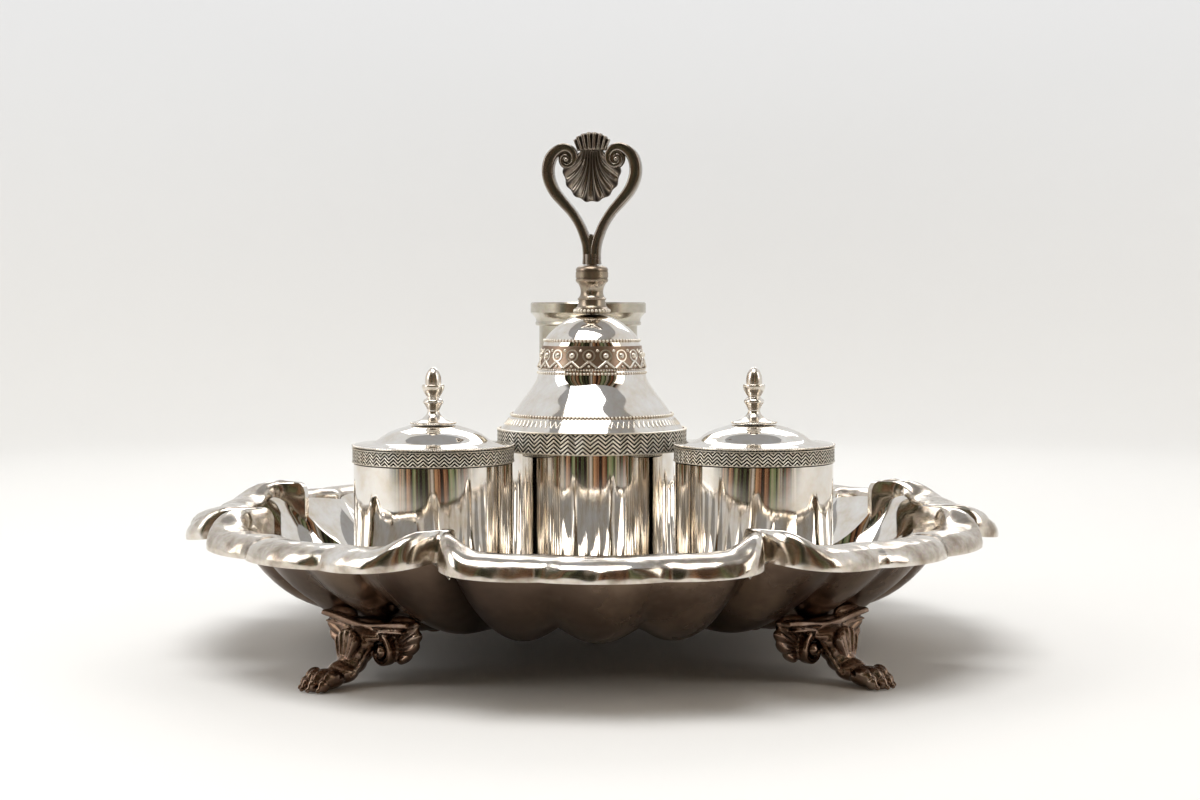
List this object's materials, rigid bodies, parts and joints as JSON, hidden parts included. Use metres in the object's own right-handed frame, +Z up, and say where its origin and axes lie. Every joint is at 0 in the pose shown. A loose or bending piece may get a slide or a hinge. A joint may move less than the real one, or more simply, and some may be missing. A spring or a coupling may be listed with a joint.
{
  "type": "inkstand with hinged-lid pots and a bell",
  "caption": "Round fluted dish on paw feet, holding lidded ink and sand pots, a table bell on its stand and a quill holder.",
  "frame": {"origin": "on the floor, under the middle of the dish", "axes": "+Z up, -Y towards the front, where the two pots stand; +X to the right as seen from the front"},
  "size_m": [0.251, 0.251, 0.16],
  "materials": {
    "polished_silver": "polished",
    "worn_silver": "satin, with dark grooves",
    "tarnished_silver": "tarnished",
    "dark_cast_silver": "oxidised casting",
    "liner_glass": "clear"
  },
  "bodies": {
    "dish": {"tray_bowl": "worn_silver", "tray_rim_moulding": "polished_silver", "foot_front_left": "tarnished_silver", "foot_front_right": "tarnished_silver", "foot_back_left": "tarnished_silver", "foot_back_right": "tarnished_silver", "inkwell_pot_body": "polished_silver", "inkwell_mouth_band": "worn_silver", "inkwell_glass_liner": "liner_glass", "inkwell_hinge_pin": "worn_silver", "inkwell_nut": "tarnished_silver", "pounce_pot_body": "polished_silver", "pounce_mouth_band": "worn_silver", "pounce_sifter_plate": "worn_silver", "pounce_hinge_pin": "worn_silver", "pounce_nut": "tarnished_silver", "bell_stand_body": "polished_silver", "bell_stand_nut": "tarnished_silver", "quill_tube": "polished_silver", "quill_flange": "polished_silver", "quill_nut": "tarnished_silver"},
    "ink_lid": {"inkwell_lid": "polished_silver", "inkwell_lid_finial": "polished_silver"},
    "pounce_lid": {"pounce_lid": "polished_silver", "pounce_lid_finial": "polished_silver"},
    "bell": {"bell_body": "polished_silver", "bell_mouth_band": "worn_silver", "bell_ferrule": "worn_silver", "bell_handle": "dark_cast_silver", "clapper_staple": "worn_silver"},
    "clapper": {"clapper_rod": "worn_silver", "clapper_ball": "worn_silver"}
  },
  "joints": [
    {"name": "inkwell_lid_hinge", "type": "hinge", "parent": "dish", "child": "ink_lid", "pos_m": [-0.04806, -0.0013, 0.06375], "axis": [-1, 0, 0], "range_deg": [0, 95]},
    {"name": "pounce_lid_hinge", "type": "hinge", "parent": "dish", "child": "pounce_lid", "pos_m": [0.04806, -0.0013, 0.06375], "axis": [-1, 0, 0], "range_deg": [0, 95]},
    {"name": "bell_lift", "type": "slide", "parent": "dish", "child": "bell", "axis": [0, 0, 1], "range_m": [0, 0.08]},
    {"name": "clapper_swing", "type": "hinge", "parent": "bell", "child": "clapper", "pos_m": [0, 0, 0.09627], "axis": [0, 1, 0], "range_deg": [-36, 36]}
  ]
}
